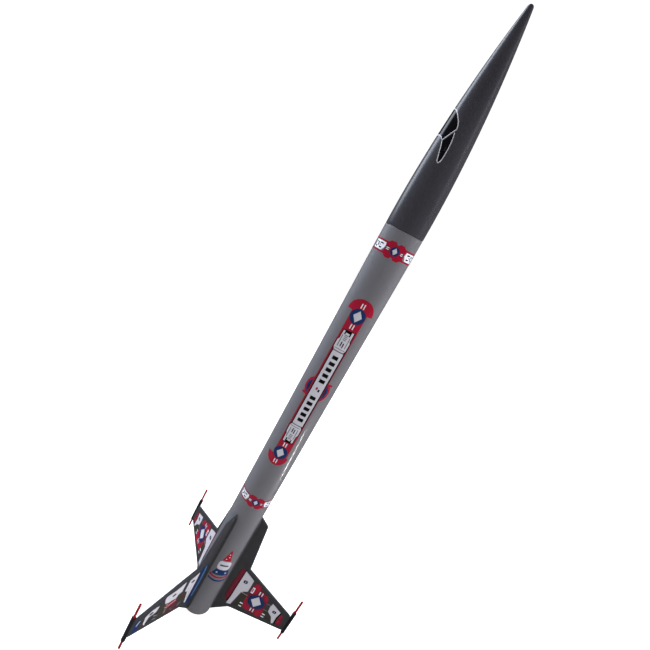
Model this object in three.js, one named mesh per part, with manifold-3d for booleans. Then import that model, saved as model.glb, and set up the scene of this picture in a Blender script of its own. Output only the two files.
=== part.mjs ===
// A model rocket: paper airframe tube, plastic ogive nose, three flat swept fins with a
// rod and sleeve on each tip, and the motor mount and recovery packing inside the tube.
// Millimetres, +Z towards the nose. The origin is on the tube's axis at its tail end,
// and the first fin points along +X.
import * as THREE from 'three';
import { mergeVertices } from 'three/addons/utils/BufferGeometryUtils.js';
import Module from 'manifold-3d';

const wasm = await Module();
wasm.setup();

// ---------------------------------------------------------------- driving dimensions
const glueGap = 0.3; // between glued or seated pieces

// airframe tube
const tubeDiameter = 33.7;
const tubeWall = 0.55;
const tubeLength = 457.2;

// nose cone, whose shoulder slides into the tube
const noseLength = 169.2; // from the tube's end to the tip
const noseTipRadius = 2.35;
const noseWall = 1.4;
const shoulderLength = 30;
const shoulderClearance = 0.3; // radial, in the tube
const shoulderWall = 1.4;
const shoulderLead = 2; // chamfer at the shoulder's end

// base plug of the nose cone, with the tether loop
const plugFlange = 1.6;
const plugSkirt = 5;
const plugSkirtWall = 1.2;
const loopWire = 2.2;
const loopHalfWidth = 5.1; // to the wire's centre
const loopLeg = 3;

// motor mount, for a motor of 18 mm by 70 mm
const motorDiameter = 18;
const motorLength = 70;
const motorClearance = 0.05; // radial, in the motor tube
const motorTubeWall = 0.3;
const motorAftZ = 6; // the motor's rear face
const motorStandout = 6; // how far the motor stands out of its tube
const thrustRingLength = 6;
const thrustRingWall = 2.2;
const ringThickness = 3; // centring rings
const aftRingInset = 2; // from the motor tube's aft end
const forwardRingInset = 2; // from the motor tube's forward end

// motor hook, a sprung steel strip
const hookWidth = 3.2;
const hookThickness = 0.6;
const hookReach = 2.2; // how far its ends reach over the motor
const hookFlexZ = 43.5; // where its tail starts to bend
const hookTravel = 4; // degrees
const hookTabZ = 1.4; // lower end of the finger tab
const hookTabSlope = 1.5;
const hookRingWidth = 8;
const hookRingWall = 0.6;

// fins: flat plates, radial, with a tab through the tube's wall
const finCount = 3;
const finThickness = 2.4;
const finRootLength = 144.9;
const finNoseOut = 10.85; // the strake's leading corner, out from the tube
const finNoseZ = 137.3;
const finKneeOut = 17.85; // where the blade starts, out from the tube
const finKneeZ = 76.3;
const finHeelOut = 17.15;
const finHeelZ = 14.8;
const bladeSlope = -0.495; // the blade's leading edge, rise for each unit outwards
const bladeTrailSlope = 0.088;

// tip sleeves and rods
const tipSpan = 101.7; // from the tube's axis to the sleeve's axis
const sleeveDiameter = 4.2;
const sleeveLow = 17.9;
const sleeveLength = 33.6;
const rodDiameter = 2.4;
const rodLow = 6.2;
const rodLength = 63.7;

// launch lugs, for a rod of 3.2 mm
const lugDiameter = 4.2;
const lugWall = 0.3;
const lugLength = 50;
const lugAzimuth = 60; // degrees from the first fin
const lowerLugZ = 25;
const upperLugZ = 262;

// recovery packing
const anchorLength = 24;
const anchorWidth = 13;
const anchorThickness = 1.2;
const anchorBelowNose = 12;
const waddingLength = 36;
const waddingDiameter = 28;
const packLength = 112;
const packDiameter = 25;

// facets round a circle
const tubeFacets = 48;
const wireFacets = 12;

// ---------------------------------------------------------------- sizes worked out
const tubeRadius = tubeDiameter / 2;
const tubeBore = tubeRadius - tubeWall;
const motorTubeBore = motorDiameter / 2 + motorClearance;
const motorTubeRadius = motorTubeBore + motorTubeWall;
const motorForeZ = motorAftZ + motorLength;
const motorTubeLow = motorAftZ + motorStandout;
const hookFore = motorForeZ + glueGap; // underside of the hook's forward leg
const thrustRingLow = hookFore + hookThickness + glueGap;
const motorTubeHigh = thrustRingLow + thrustRingLength + 1;
const hookInner = motorTubeRadius + glueGap;
const hookMid = hookInner + hookThickness / 2;
const aftRingLow = motorTubeLow + aftRingInset;
const foreRingLow = motorTubeHigh - forwardRingInset - ringThickness;
const tabLow = aftRingLow + ringThickness + glueGap;
const tabHigh = foreRingLow - glueGap;
const noseBaseZ = tubeLength + glueGap;
const plugLow = noseBaseZ - shoulderLength - glueGap - plugFlange;
const loopLow = plugLow - loopLeg - loopHalfWidth - loopWire / 2;

// ---------------------------------------------------------------- helpers
const rad = THREE.MathUtils.degToRad;

// a closed solid turned about Z from [radius, z] pairs, listed anticlockwise
function turned(profile, facets = tubeFacets) {
  const points = profile.map(([r, z]) => new THREE.Vector2(r, z));
  const onAxis = profile[0][0] === 0 && profile[profile.length - 1][0] === 0;
  if (!onAxis) points.push(points[0].clone());
  return new THREE.LatheGeometry(points, facets).rotateX(Math.PI / 2);
}

function ring(inner, outer, low, high, facets = tubeFacets) {
  return turned([[inner, low], [outer, low], [outer, high], [inner, high]], facets);
}

function rod(radius, low, high, facets = wireFacets) {
  return turned([[0, low], [radius, low], [radius, high], [0, high]], facets);
}

function block(lowCorner, highCorner) {
  const low = new THREE.Vector3(...lowCorner);
  const high = new THREE.Vector3(...highCorner);
  const size = high.clone().sub(low);
  const middle = low.clone().add(high).multiplyScalar(0.5);
  return new THREE.BoxGeometry(size.x, size.y, size.z).translate(middle.x, middle.y, middle.z);
}

// an [x, z] outline as a plate of even thickness, centred on the XZ plane
function plate(outline, thickness) {
  const shape = new THREE.Shape(outline.map(([x, z]) => new THREE.Vector2(x, z)));
  const solid = new THREE.ExtrudeGeometry(shape, { depth: thickness, bevelEnabled: false });
  return solid.translate(0, 0, -thickness / 2).rotateX(Math.PI / 2);
}

// the outline of a bent strip, from the [x, z] points along its middle
function bentStrip(points, thickness) {
  const path = points.map(([x, z]) => new THREE.Vector2(x, z));
  const sides = [[], []];
  path.forEach((point, i) => {
    const before = point.clone().sub(path[Math.max(i - 1, 0)]).normalize();
    const after = path[Math.min(i + 1, path.length - 1)].clone().sub(point).normalize();
    const along = before.clone().add(after).normalize();
    const mitre = new THREE.Vector2(-along.y, along.x);
    const leg = i === 0 ? after : before;
    const stretch = 1 / Math.max(Math.abs(mitre.dot(new THREE.Vector2(-leg.y, leg.x))), 0.3);
    const offset = mitre.multiplyScalar((thickness / 2) * stretch);
    sides[0].push([point.x + offset.x, point.y + offset.y]);
    sides[1].unshift([point.x - offset.x, point.y - offset.y]);
  });
  return [...sides[0], ...sides[1]];
}

function toSolid(geometry) {
  const bare = geometry.clone();
  bare.deleteAttribute('normal');
  bare.deleteAttribute('uv');
  const merged = mergeVertices(bare, 1e-4);
  const mesh = new wasm.Mesh({
    numProp: 3,
    vertProperties: new Float32Array(merged.attributes.position.array),
    triVerts: new Uint32Array(merged.index.array),
  });
  return new wasm.Manifold(mesh);
}

function toGeometry(solid) {
  const mesh = solid.getMesh();
  const geometry = new THREE.BufferGeometry();
  geometry.setAttribute('position', new THREE.BufferAttribute(mesh.vertProperties, 3));
  geometry.setIndex(new THREE.BufferAttribute(mesh.triVerts, 1));
  geometry.computeVertexNormals();
  return geometry;
}

function cut(geometry, ...cutters) {
  return toGeometry(cutters.reduce((left, c) => left.subtract(toSolid(c)), toSolid(geometry)));
}

function join(geometry, ...others) {
  return toGeometry(others.reduce((whole, o) => whole.add(toSolid(o)), toSolid(geometry)));
}

function common(geometry, other) {
  return toGeometry(toSolid(geometry).intersect(toSolid(other)));
}

// ---------------------------------------------------------------- materials
function finish(color, roughness, metalness = 0) {
  return new THREE.MeshStandardMaterial({ color, roughness, metalness });
}

const tubePaint = () => finish(0x6d6c72, 0.3);
const nosePaint = () => finish(0x35353a, 0.22);
const finPaint = () => finish(0x2c2c30, 0.4);
const redPaint = () => finish(0xa3101d, 0.4);
const blackSleeve = () => finish(0x121214, 0.35);
const cardboard = () => finish(0xb99870, 0.85);
const greyPaper = () => finish(0xd9d4c8, 0.9);
const springSteel = () => finish(0x9a9a9c, 0.3, 0.9);
const canopyNylon = () => finish(0xe0562a, 0.6);

const rocket = new THREE.Group();

function add(name, geometry, material, parent = rocket) {
  const mesh = new THREE.Mesh(geometry, material);
  mesh.name = name;
  parent.add(mesh);
  return mesh;
}

// a group turned about Z, for what repeats round the tube
function turnedGroup(degrees) {
  const group = new THREE.Group();
  group.rotation.z = rad(degrees);
  rocket.add(group);
  return group;
}

// ---------------------------------------------------------------- airframe tube
function airframeTube() {
  const slots = [];
  for (let i = 0; i < finCount; i += 1) {
    const halfSlot = finThickness / 2 + glueGap;
    const slot = block(
      [motorTubeRadius, -halfSlot, tabLow - glueGap],
      [tubeRadius + 1, halfSlot, tabHigh + glueGap],
    );
    slots.push(slot.rotateZ(rad((360 / finCount) * i)));
  }
  return cut(ring(tubeBore, tubeRadius, 0, tubeLength), ...slots);
}

// ---------------------------------------------------------------- nose
// A tangent ogive that a small sphere rounds off at the tip. The ogive's arc has its
// centre level with the base, and the sphere touches that arc from inside.
const ogiveRadius =
  (noseLength ** 2 + tubeRadius ** 2 - 2 * noseTipRadius * noseLength) /
  (2 * (tubeRadius - noseTipRadius));
const ogiveOffset = ogiveRadius - tubeRadius;

function ogiveArc(inset, fromAngle, toAngle, steps) {
  const points = [];
  for (let i = 0; i <= steps; i += 1) {
    const angle = fromAngle + ((toAngle - fromAngle) * i) / steps;
    const reach = ogiveRadius - inset;
    points.push([reach * Math.cos(angle) - ogiveOffset, noseBaseZ + reach * Math.sin(angle)]);
  }
  return points;
}

function noseCone() {
  const tipCentre = noseLength - noseTipRadius;
  const touchAngle = Math.atan2(tipCentre, ogiveOffset);
  const outside = ogiveArc(0, 0, touchAngle, 16);
  for (let i = 1; i <= 4; i += 1) {
    const angle = touchAngle + ((Math.PI / 2 - touchAngle) * i) / 4;
    const r = i === 4 ? 0 : noseTipRadius * Math.cos(angle);
    outside.push([r, noseBaseZ + tipCentre + noseTipRadius * Math.sin(angle)]);
  }
  const hollowTip = noseTipRadius * 0.6;
  const hollowAngle = Math.acos((ogiveOffset + hollowTip) / (ogiveRadius - noseWall));
  const shoulderRadius = tubeBore - shoulderClearance;
  const shoulderBore = shoulderRadius - shoulderWall;
  const shoulderLow = noseBaseZ - shoulderLength;
  const inside = ogiveArc(noseWall, hollowAngle, 0.01, 12);
  return turned([
    [0, inside[0][1]],
    ...inside,
    [shoulderBore, noseBaseZ + noseWall],
    [shoulderBore, shoulderLow],
    [shoulderRadius - shoulderClearance, shoulderLow],
    [shoulderRadius, shoulderLow + shoulderLead],
    [shoulderRadius, noseBaseZ],
    ...outside,
  ]);
}

function nosePlug() {
  const shoulderBore = tubeBore - shoulderClearance - shoulderWall;
  const skirtRadius = shoulderBore - glueGap;
  const flangeRadius = tubeBore - 2 * shoulderClearance;
  const flangeTop = plugLow + plugFlange;
  const cup = turned([
    [0, plugLow],
    [flangeRadius, plugLow],
    [flangeRadius, flangeTop],
    [skirtRadius, flangeTop],
    [skirtRadius, flangeTop + plugSkirt],
    [skirtRadius - plugSkirtWall, flangeTop + plugSkirt],
    [skirtRadius - plugSkirtWall, flangeTop],
    [0, flangeTop],
  ]);
  const bend = new THREE.CurvePath();
  const top = plugLow + plugFlange / 2;
  const bottom = plugLow - loopLeg;
  const corners = [];
  corners.push(new THREE.Vector3(loopHalfWidth, 0, top));
  for (let i = 0; i <= 8; i += 1) {
    const angle = (-Math.PI * i) / 8;
    const x = loopHalfWidth * Math.cos(angle);
    corners.push(new THREE.Vector3(x, 0, bottom + loopHalfWidth * Math.sin(angle)));
  }
  corners.push(new THREE.Vector3(-loopHalfWidth, 0, top));
  for (let i = 1; i < corners.length; i += 1) {
    bend.add(new THREE.LineCurve3(corners[i - 1], corners[i]));
  }
  const section = new THREE.Shape();
  section.absarc(0, 0, loopWire / 2, 0, 2 * Math.PI);
  const loop = new THREE.ExtrudeGeometry(section, {
    extrudePath: bend,
    steps: 30,
    curveSegments: 5,
    bevelEnabled: false,
  });
  return join(cup, loop);
}

// ---------------------------------------------------------------- motor mount
// The hook lies along the motor tube's -X side.
const hookHalfSlot = hookWidth / 2 + glueGap;

function motorTube() {
  const slot = block(
    [-motorTubeRadius - 1, -hookHalfSlot, hookFore - glueGap],
    [-motorTubeBore / 2, hookHalfSlot, hookFore + hookThickness + glueGap],
  );
  return cut(ring(motorTubeBore, motorTubeRadius, motorTubeLow, motorTubeHigh), slot);
}

function thrustRing() {
  const outer = motorTubeBore - glueGap;
  return ring(outer - thrustRingWall, outer, thrustRingLow, thrustRingLow + thrustRingLength);
}

function centringRing(low, notched) {
  const inner = motorTubeRadius + glueGap;
  const disc = ring(inner, tubeBore - glueGap, low, low + ringThickness);
  if (!notched) return disc;
  const swing = Math.tan(rad(hookTravel)) * (hookFlexZ - low);
  const notchReach = hookInner + hookThickness + swing + 2 * glueGap;
  const notch = block(
    [-notchReach, -hookHalfSlot - glueGap, low - 1],
    [0, hookHalfSlot + glueGap, low + ringThickness + 1],
  );
  return cut(disc, notch);
}

function hookFront() {
  const foreMid = hookFore + hookThickness / 2;
  const path = [
    [-hookMid, hookFlexZ + glueGap / 2],
    [-hookMid, foreMid],
    [-(motorDiameter / 2 - hookReach), foreMid],
  ];
  return plate(bentStrip(path, hookThickness), hookWidth);
}

function hookTail() {
  const aftMid = motorAftZ - glueGap - hookThickness / 2;
  const reach = motorDiameter / 2 - hookReach;
  const path = [
    [-hookMid, hookFlexZ - glueGap / 2],
    [-hookMid, aftMid],
    [-reach, aftMid],
    [-reach - hookTabSlope, hookTabZ],
  ];
  return plate(bentStrip(path, hookThickness), hookWidth);
}

const retainerLow = hookFlexZ + glueGap;
const retainerHigh = retainerLow + hookRingWidth;

function hookRetainer() {
  const low = retainerLow;
  const high = retainerHigh;
  const inner = motorTubeRadius + glueGap;
  const humpReach = hookInner + hookThickness + glueGap;
  const outside = join(
    ring(inner, inner + hookRingWall, low, high),
    block(
      [-humpReach - hookRingWall, -hookHalfSlot - hookRingWall, low],
      [-inner + 2, hookHalfSlot + hookRingWall, high],
    ),
  );
  return cut(
    outside,
    rod(inner, low - 1, high + 1, tubeFacets),
    block([-humpReach, -hookHalfSlot, low - 1], [0, hookHalfSlot, high + 1]),
  );
}

// ---------------------------------------------------------------- fins
function fin() {
  const root = tubeRadius + glueGap;
  const knee = tubeRadius + finKneeOut;
  const heel = tubeRadius + finHeelOut;
  const edge = tipSpan - sleeveDiameter / 2 - glueGap;
  const tab = motorTubeRadius + glueGap;
  const relief = tab + hookRingWall + glueGap; // clears the hook's retainer
  return plate(
    [
      [root, 0],
      [heel, finHeelZ],
      [edge, finHeelZ + bladeTrailSlope * (edge - heel)],
      [edge, finKneeZ + bladeSlope * (edge - knee)],
      [knee, finKneeZ],
      [tubeRadius + finNoseOut, finNoseZ],
      [root, finRootLength],
      [root, tabHigh],
      [tab, tabHigh],
      [tab, retainerHigh + glueGap],
      [relief, retainerHigh + glueGap],
      [relief, retainerLow - glueGap],
      [tab, retainerLow - glueGap],
      [tab, tabLow],
      [root, tabLow],
    ],
    finThickness,
  );
}

// ---------------------------------------------------------------- recovery packing
// a folded paper anchor, glued to the bore near the nose
function cordAnchor() {
  const high = loopLow - anchorBelowNose;
  const outer = tubeBore - glueGap;
  const shell = ring(outer - anchorThickness, outer, high - anchorLength, high);
  const patch = block(
    [-anchorWidth / 2, 0, high - anchorLength],
    [anchorWidth / 2, tubeRadius, high],
  );
  return common(shell, patch);
}

function roll(diameter, low, length) {
  const radius = diameter / 2;
  const ease = radius / 5;
  return turned([
    [0, low],
    [radius - ease, low],
    [radius, low + ease],
    [radius, low + length - ease],
    [radius - ease, low + length],
    [0, low + length],
  ], 32);
}

// ---------------------------------------------------------------- assembly
add('body_tube', airframeTube(), tubePaint());
add('nose_cone', noseCone(), nosePaint());
add('nose_plug', nosePlug(), nosePaint());

add('motor_tube', motorTube(), cardboard());
add('thrust_ring', thrustRing(), cardboard());
add('centring_ring_aft', centringRing(aftRingLow, true), cardboard());
add('centring_ring_forward', centringRing(foreRingLow, false), cardboard());
add('motor_hook', hookFront(), springSteel());
add('motor_hook_tail', hookTail(), springSteel());
add('hook_retainer', hookRetainer(), greyPaper());

const sleeveBore = rodDiameter / 2 + glueGap;
for (let i = 0; i < finCount; i += 1) {
  const arm = turnedGroup((360 / finCount) * i);
  add(`fin_${i + 1}`, fin(), finPaint(), arm);
  const tip = new THREE.Group();
  tip.position.x = tipSpan;
  arm.add(tip);
  const sleeve = ring(sleeveBore, sleeveDiameter / 2, sleeveLow, sleeveLow + sleeveLength, 20);
  add(`tip_sleeve_${i + 1}`, sleeve, blackSleeve(), tip);
  add(`tip_rod_${i + 1}`, rod(rodDiameter / 2, rodLow, rodLow + rodLength), redPaint(), tip);
}

const lugSide = turnedGroup(lugAzimuth);
for (const [name, low] of [['lower', lowerLugZ], ['upper', upperLugZ]]) {
  const lug = ring(lugDiameter / 2 - lugWall, lugDiameter / 2, low, low + lugLength, 20);
  const mesh = add(`launch_lug_${name}`, lug, tubePaint(), lugSide);
  mesh.position.x = tubeRadius + glueGap + lugDiameter / 2;
}

const waddingLow = motorTubeHigh + 2 * glueGap;
const packLow = waddingLow + waddingLength + 2;
add('shock_cord_anchor', cordAnchor(), greyPaper());
add('recovery_wadding', roll(waddingDiameter, waddingLow, waddingLength), greyPaper());
add('parachute_roll', roll(packDiameter, packLow, packLength), canopyNylon());

export default rocket;
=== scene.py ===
# A model rocket standing on its tail end: smooth meshes, printed films and finishes
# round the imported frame. Lengths are in millimetres until a mesh is made, which turns
# them into metres. The first fin points along +X and the nose along +Z.
import math

import bmesh
import bpy
from mathutils import Matrix, Quaternion, Vector, geometry, noise


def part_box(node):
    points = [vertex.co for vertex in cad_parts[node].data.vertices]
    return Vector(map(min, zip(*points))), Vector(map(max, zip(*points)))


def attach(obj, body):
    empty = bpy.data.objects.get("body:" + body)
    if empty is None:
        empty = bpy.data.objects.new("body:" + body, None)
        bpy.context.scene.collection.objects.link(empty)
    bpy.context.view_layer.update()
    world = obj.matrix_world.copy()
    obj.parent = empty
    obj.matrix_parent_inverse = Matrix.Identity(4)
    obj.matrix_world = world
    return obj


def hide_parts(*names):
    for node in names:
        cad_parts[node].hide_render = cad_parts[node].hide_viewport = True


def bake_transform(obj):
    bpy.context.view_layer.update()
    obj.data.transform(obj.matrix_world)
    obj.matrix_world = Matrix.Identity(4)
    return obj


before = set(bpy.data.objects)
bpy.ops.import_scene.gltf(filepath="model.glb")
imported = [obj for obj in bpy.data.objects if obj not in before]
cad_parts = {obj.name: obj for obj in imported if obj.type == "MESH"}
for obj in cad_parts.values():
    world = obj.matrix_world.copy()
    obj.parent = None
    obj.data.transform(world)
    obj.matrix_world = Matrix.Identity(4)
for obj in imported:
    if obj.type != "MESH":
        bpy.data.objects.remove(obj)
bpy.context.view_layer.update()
scene = bpy.context.scene
mm = 0.001


def boxOf(node):
    low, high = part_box(node)
    return low / mm, high / mm


def sizeOf(node):
    low, high = boxOf(node)
    return high - low


def heightsOf(node):
    return [corner.z for corner in boxOf(node)]


tubeRadius = sizeOf("body_tube").x / 2
tubeTop = boxOf("body_tube")[1].z
noseSize = {
    "base": tubeTop + 0.3,  # the seam between the tube and the nose stays open
    "tip": boxOf("nose_cone")[1].z,
    "tipRadius": 2.35,
    "wall": 1.4,
}
finTurns = [120 * i for i in range(3)]
finThick = sizeOf("fin_1").y
rootRadius = tubeRadius + 0.3
print("frame read: tube", round(2 * tubeRadius, 1), "by", round(tubeTop, 1), "mm")


# ---------- outlines in a plane
def roundCorners(outline, radius, steps=3, closed=True):
    made = []
    count = len(outline)
    for i in range(count):
        here = Vector(outline[i])
        if not closed and i in (0, count - 1):
            made.append(here)
            continue
        before = Vector(outline[i - 1]) - here
        after = Vector(outline[(i + 1) % count]) - here
        reach = min(radius, 0.45 * before.length, 0.45 * after.length)
        start = here + before.normalized() * reach
        end = here + after.normalized() * reach
        for k in range(steps + 1):
            t = k / steps
            made.append(start * (1 - t) ** 2 + here * 2 * t * (1 - t) + end * t ** 2)
    return [tuple(p) for p in made]


def arc(cu, cv, radius, start=0, end=360, steps=32):
    span = steps if abs(end - start) == 360 else steps - 1
    turns = [math.radians(start + (end - start) * k / span) for k in range(steps)]
    return [(cu + radius * math.cos(t), cv + radius * math.sin(t)) for t in turns]


def bar(cu, cv, width, height):
    u, v = width / 2, height / 2
    return [(cu - u, cv - v), (cu + u, cv - v), (cu + u, cv + v), (cu - u, cv + v)]


def lozenge(cu, cv, width, height):
    u, v = width / 2, height / 2
    return [(cu, cv - v), (cu + u, cv), (cu, cv + v), (cu - u, cv)]


def shifted(outline, du, dv=0, flip=1, flop=1):
    return [(du + flip * u, dv + flop * v) for u, v in outline]


def stroke(path, width):
    # a line of even width along a path
    left, right = [], []
    for i in range(len(path)):
        before = Vector(path[max(i - 1, 0)])
        after = Vector(path[min(i + 1, len(path) - 1)])
        along = (after - before).normalized()
        across = Vector((-along.y, along.x)) * width / 2
        left.append(tuple(Vector(path[i]) + across))
        right.append(tuple(Vector(path[i]) - across))
    return left + right[::-1]


def areaOf(outline):
    pairs = zip(outline, outline[1:] + outline[:1])
    return sum(a[0] * b[1] - b[0] * a[1] for a, b in pairs) / 2


# ---------- solids: each is (points in mm, faces, ink of each face)
def inked(points, faces, ink=0):
    return points, faces, [ink] * len(faces)


def turned(profile, steps=96):
    # a profile of (radius, z) turned about Z: it starts and ends on the axis, or closes on itself
    points, rows, faces = [], [], []
    for radius, z in profile:
        if radius == 0:
            rows.append([len(points)] * steps)
            points.append((0, 0, z))
            continue
        rows.append([len(points) + k for k in range(steps)])
        for k in range(steps):
            turn = 2 * math.pi * k / steps
            points.append((radius * math.cos(turn), radius * math.sin(turn), z))
    onAxis = profile[0][0] == 0
    pairs = list(zip(rows, rows[1:])) if onAxis else list(zip(rows, rows[1:] + rows[:1]))
    for low, high in pairs:
        for k in range(steps):
            n = (k + 1) % steps
            corners = [low[k], low[n], high[n], high[k]]
            faces.append(list(dict.fromkeys(corners)))
    return inked(points, faces)


def lofted(sections):
    # closed sections of equal count, joined in order and capped
    points = [p for section in sections for p in section]
    count = len(sections[0])
    faces = [list(range(count)), list(range(len(points) - count, len(points)))]
    for i in range(len(sections) - 1):
        for k in range(count):
            n = (k + 1) % count
            a, b = i * count, (i + 1) * count
            faces.append([a + k, a + n, b + n, b + k])
    return inked(points, faces)


def swept(path, section):
    # a section of (side, up) carried along a path in the XZ plane
    path = [Vector(p) for p in path]
    side = Vector((0, 1, 0))
    sections = []
    for i, here in enumerate(path):
        along = (path[min(i + 1, len(path) - 1)] - path[max(i - 1, 0)]).normalized()
        up = along.cross(side).normalized()
        sections.append([tuple(here + side * s + up * t) for s, t in section])
    return lofted(sections)


def shell(outer, inner, rows, slots, steps=120):
    # a tube wall with square slots: rows are (z, how far its skins draw in), and a slot is
    # (middle in degrees, half width in mm, low z, high z)
    turns = [360 * k / steps for k in range(steps)]
    heights = dict(rows)
    for middle, half, low, high in slots:
        edge = math.degrees(math.asin(half / outer))
        for side in (middle - edge, middle + edge):
            near = min(range(steps), key=lambda k: abs((turns[k] - side + 180) % 360 - 180))
            turns[near] = side % 360
        heights.update({low: 0, high: 0})
    turns.sort()
    levels = sorted(heights)
    points, faces = [], []
    for base, sign in ((outer, -1), (inner, 1)):
        for z in levels:
            radius = base + sign * heights[z]
            for turn in turns:
                t = math.radians(turn)
                points.append((radius * math.cos(t), radius * math.sin(t), z))

    def at(layer, i, k):
        return (layer * len(levels) + i) * steps + k % steps

    def isOpen(i, k):
        if i in (-1, len(levels) - 1):
            return True
        gap = (turns[(k + 1) % steps] - turns[k % steps]) % 360
        turn = turns[k % steps] + gap / 2
        z = (levels[i] + levels[i + 1]) / 2
        for middle, half, low, high in slots:
            off = abs((turn - middle + 180) % 360 - 180)
            if low < z < high and math.radians(off) * outer < half:
                return True
        return False

    for i in range(len(levels) - 1):
        for k in range(steps):
            if isOpen(i, k):
                continue
            faces.append([at(0, i, k), at(0, i, k + 1), at(0, i + 1, k + 1), at(0, i + 1, k)])
            faces.append([at(1, i, k), at(1, i + 1, k), at(1, i + 1, k + 1), at(1, i, k + 1)])
            if isOpen(i - 1, k):
                faces.append([at(0, i, k), at(1, i, k), at(1, i, k + 1), at(0, i, k + 1)])
            if isOpen(i + 1, k):
                faces.append([at(0, i + 1, k), at(0, i + 1, k + 1), at(1, i + 1, k + 1), at(1, i + 1, k)])
            if isOpen(i, k - 1):
                faces.append([at(0, i, k), at(0, i + 1, k), at(1, i + 1, k), at(1, i, k)])
            if isOpen(i, k + 1):
                faces.append([at(0, i, k + 1), at(1, i, k + 1), at(1, i + 1, k + 1), at(0, i + 1, k + 1)])
    return inked(points, faces)


def printed(layers, place, low, high, grid=0, rim=None):
    # flat outlines of (ink, outline), each over the ones before it, made into one thin solid;
    # an ink of None cuts a hole, and place turns (u, v, height) into a point
    flat, edges, areas = [], [], []
    for ink, outline in layers:
        ring = list(outline) if areaOf(outline) > 0 else list(outline)[::-1]
        areas.append(list(range(len(flat), len(flat) + len(ring))))
        flat += [Vector(p) for p in ring]
    if grid:
        us = [p.x for p in flat]
        vs = [p.y for p in flat]
        lines = int((max(us) - min(us)) / grid)
        for k in range(1, lines):
            u = min(us) + (max(us) - min(us)) * k / lines
            edges.append((len(flat), len(flat) + 1))
            flat += [Vector((u, min(vs) - 1)), Vector((u, max(vs) + 1))]
    out = geometry.delaunay_2d_cdt(flat, edges, areas, 0, 1e-4, True)
    spots, triangles, owners = out[0], out[2], out[5]
    kept = []
    for triangle, owner in zip(triangles, owners):
        if owner and layers[max(owner)][0] is not None:
            kept.append((list(triangle), layers[max(owner)][0]))
    used = sorted({i for triangle, ink in kept for i in triangle})
    order = {i: k for k, i in enumerate(used)}
    points = [place(spots[i].x, spots[i].y, high) for i in used]
    points += [place(spots[i].x, spots[i].y, low) for i in used]
    faces, inks, borders = [], [], {}
    for triangle, ink in kept:
        a, b, c = (order[i] for i in triangle)
        faces += [[a, b, c], [c + len(used), b + len(used), a + len(used)]]
        inks += [ink, ink]
        for edge in ((a, b), (b, c), (c, a)):
            borders[edge] = ink
    for (a, b), ink in borders.items():
        if (b, a) not in borders:
            faces.append([a, a + len(used), b + len(used), b])
            inks.append(ink if rim is None else rim)
    return points, faces, inks


def moved(solid, matrix):
    points, faces, inks = solid
    return [tuple(matrix @ Vector(p)) for p in points], faces, inks


def spun(solid, degrees):
    return moved(solid, Matrix.Rotation(math.radians(degrees), 4, "Z"))


def makePiece(name, solids, finishes, nodes=(), body="airframe", crease=35):
    # one object from closed solids; an ink is a finish's name, or its place in a list
    if not isinstance(finishes, dict):
        finishes = dict(enumerate(finishes))
    names = list(finishes)
    mesh = bpy.data.meshes.new(name)
    points, faces, inks = [], [], []
    for solidPoints, solidFaces, solidInks in solids:
        start = len(points)
        points += [Vector(p) * mm for p in solidPoints]
        faces += [[start + i for i in face] for face in solidFaces]
        inks += [names.index(ink) for ink in solidInks]
    mesh.from_pydata(points, [], faces)
    mesh.polygons.foreach_set("material_index", inks)
    for finish in finishes.values():
        mesh.materials.append(finish)
    shape = bmesh.new()
    shape.from_mesh(mesh)
    bmesh.ops.recalc_face_normals(shape, faces=shape.faces)
    for face in shape.faces:
        face.smooth = True
    for edge in shape.edges:
        edge.smooth = len(edge.link_faces) == 2 and edge.calc_face_angle(0) < math.radians(crease)
    shape.to_mesh(mesh)
    shape.free()
    piece = bpy.data.objects.new(name, mesh)
    scene.collection.objects.link(piece)
    if body:
        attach(piece, body)
    if nodes:
        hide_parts(*nodes)
    return piece


# ---------- finishes
class Wire:
    # a node's output that can be used in sums
    def __init__(self, finish, socket):
        self.finish = finish
        self.socket = socket

    def sum(self, operation, *values):
        return self.finish.node("Math", {"operation": operation}, dict(enumerate(values)))

    def __add__(self, other):
        return self.sum("ADD", self, other)

    def __radd__(self, other):
        return self.sum("ADD", other, self)

    def __sub__(self, other):
        return self.sum("SUBTRACT", self, other)

    def __rsub__(self, other):
        return self.sum("SUBTRACT", other, self)

    def __mul__(self, other):
        return self.sum("MULTIPLY", self, other)

    def __rmul__(self, other):
        return self.sum("MULTIPLY", other, self)

    def __truediv__(self, other):
        return self.sum("DIVIDE", self, other)

    def part(self):
        return self.sum("FRACT", self)

    def size(self):
        return self.sum("ABSOLUTE", self)

    def wave(self):
        return self.sum("SINE", self)


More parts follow.
